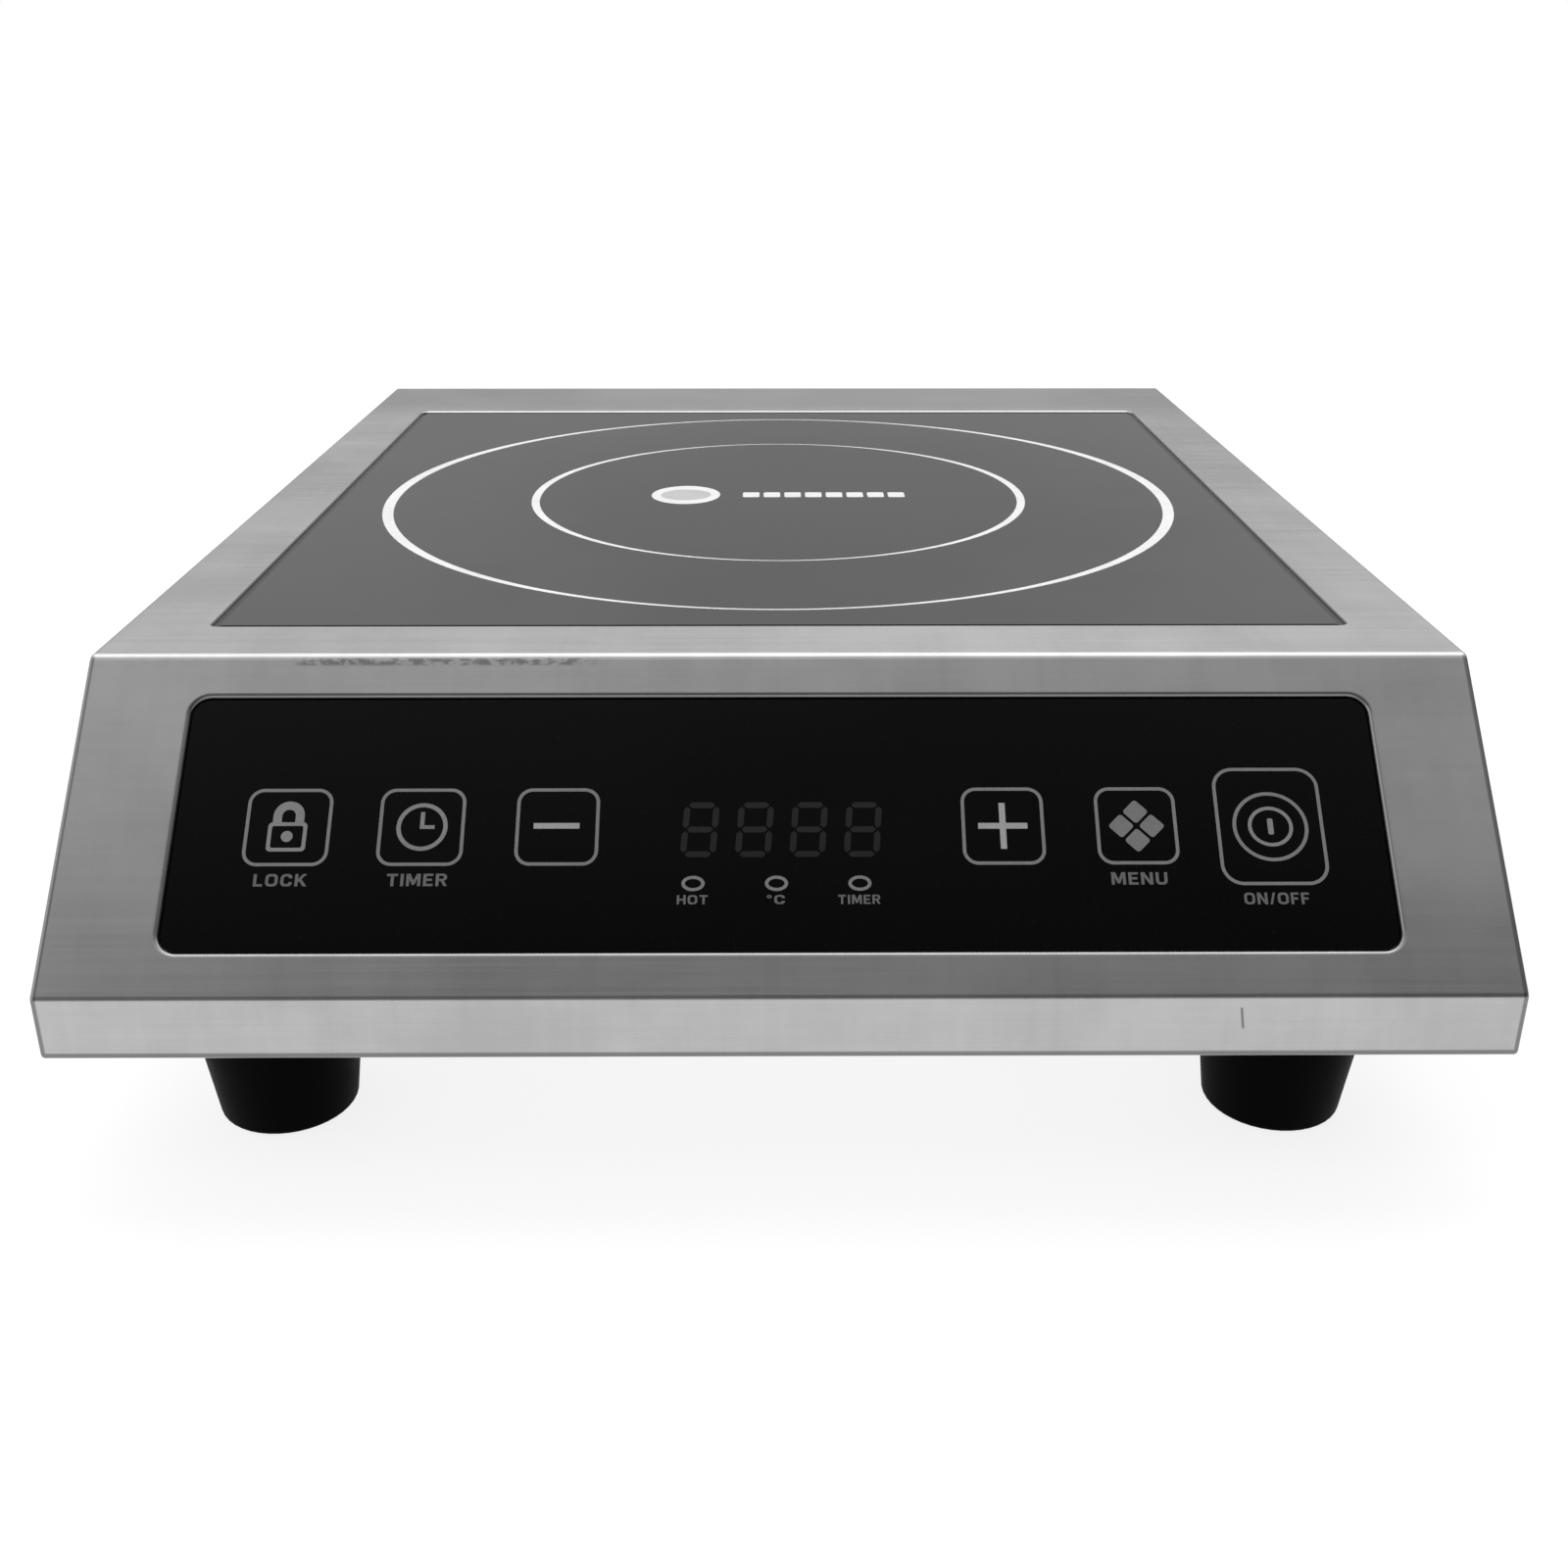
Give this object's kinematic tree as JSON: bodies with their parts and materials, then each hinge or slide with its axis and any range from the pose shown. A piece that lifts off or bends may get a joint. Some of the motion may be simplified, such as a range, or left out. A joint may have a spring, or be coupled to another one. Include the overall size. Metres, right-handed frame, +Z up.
{
  "type": "countertop induction cooker",
  "caption": "Countertop induction cooker with a glass hob let into a folded steel case, a sloping touch panel, and feet.",
  "frame": {"origin": "centre of the footprint at the bottom of the feet, with the cable gland at the rear counted in the footprint", "axes": "+X to the cooker's right-hand side as its user sees it, +Y towards the rear, +Z up; the control panel faces -Y"},
  "size_m": [0.33, 0.4404, 0.1055],
  "materials": {
    "stainless": "fine satin",
    "galvanised": "matte zinc",
    "hob_glass": "polished black",
    "silicone": "matte",
    "panel_glass": "polished black",
    "foam": "matte",
    "circuit_board": "solder mask",
    "nylon": "matte",
    "zinc_steel": "plated",
    "black_plastic": "matte",
    "led_plastic": "gloss",
    "spring_steel": "bright",
    "foot_rubber": "satin",
    "black_nylon": "satin",
    "bronze": "satin",
    "stator_iron": "varnished",
    "aluminium": "extruded",
    "capacitor_film": "gloss",
    "capacitor_can": "gloss",
    "copper_wire": "enamelled",
    "fuse_ceramic": "glazed",
    "mica": "satin",
    "litz_wire": "enamelled",
    "coil_plastic": "matte",
    "ferrite": "sintered",
    "silicone_clear": "matte",
    "wire_red": "satin",
    "wire_brown": "satin",
    "wire_black": "satin",
    "wire_grey": "satin"
  },
  "bodies": {
    "cooker": {"housing_shell": "stainless", "base_plate": "galvanised", "hob_glass": "hob_glass", "glass_seal": "silicone", "control_panel": "panel_glass", "panel_gasket": "foam", "control_board": "circuit_board", "board_bracket": "galvanised", "board_spacers": "nylon", "board_screws": "zinc_steel", "bracket_studs": "zinc_steel", "bracket_nuts": "zinc_steel", "display_module": "black_plastic", "indicator_leds": "led_plastic", "touch_springs": "spring_steel", "buzzer": "black_plastic", "base_screws": "zinc_steel", "feet": "foot_rubber", "foot_washers": "zinc_steel", "foot_screws": "zinc_steel", "foot_nuts": "zinc_steel", "gland_body": "black_nylon", "gland_nut": "black_nylon", "gland_seal": "foot_rubber", "gland_locknut": "black_nylon", "fan_frame_left": "black_plastic", "fan_frame_right": "black_plastic", "fan_bushings": "bronze", "fan_stators": "stator_iron", "fan_screws": "zinc_steel", "air_guide": "nylon", "power_board": "circuit_board", "board_standoffs": "nylon", "power_board_screws": "zinc_steel", "power_transistors": "black_plastic", "heat_sink": "aluminium", "film_capacitors": "capacitor_film", "electrolytic_capacitors": "capacitor_can", "chokes": "copper_wire", "auxiliary_transformer": "black_plastic", "mains_fuse": "fuse_ceramic", "board_connectors": "nylon", "terminal_block": "nylon", "terminal_screws": "bronze", "mica_sheet": "mica", "coil_winding": "litz_wire", "coil_carrier": "coil_plastic", "ferrite_bars": "ferrite", "sensor_holder": "silicone_clear", "temperature_sensor": "fuse_ceramic", "coil_posts": "zinc_steel", "coil_springs": "spring_steel", "coil_clips": "zinc_steel", "coil_leads": "wire_red", "supply_wires": "wire_brown", "fan_leads": "wire_black", "control_ribbon": "wire_grey"},
    "fan_left": {"fan_rotor_left": "black_plastic"},
    "fan_right": {"fan_rotor_right": "black_plastic"}
  },
  "joints": [
    {"name": "fan_left_spin", "type": "hinge", "parent": "cooker", "child": "fan_left", "pos_m": [-0.072, -0.10825, 0.043], "axis": [0, 0, 1], "continuous": true},
    {"name": "fan_right_spin", "type": "hinge", "parent": "cooker", "child": "fan_right", "pos_m": [0.072, -0.10825, 0.043], "axis": [0, 0, 1], "continuous": true}
  ]
}
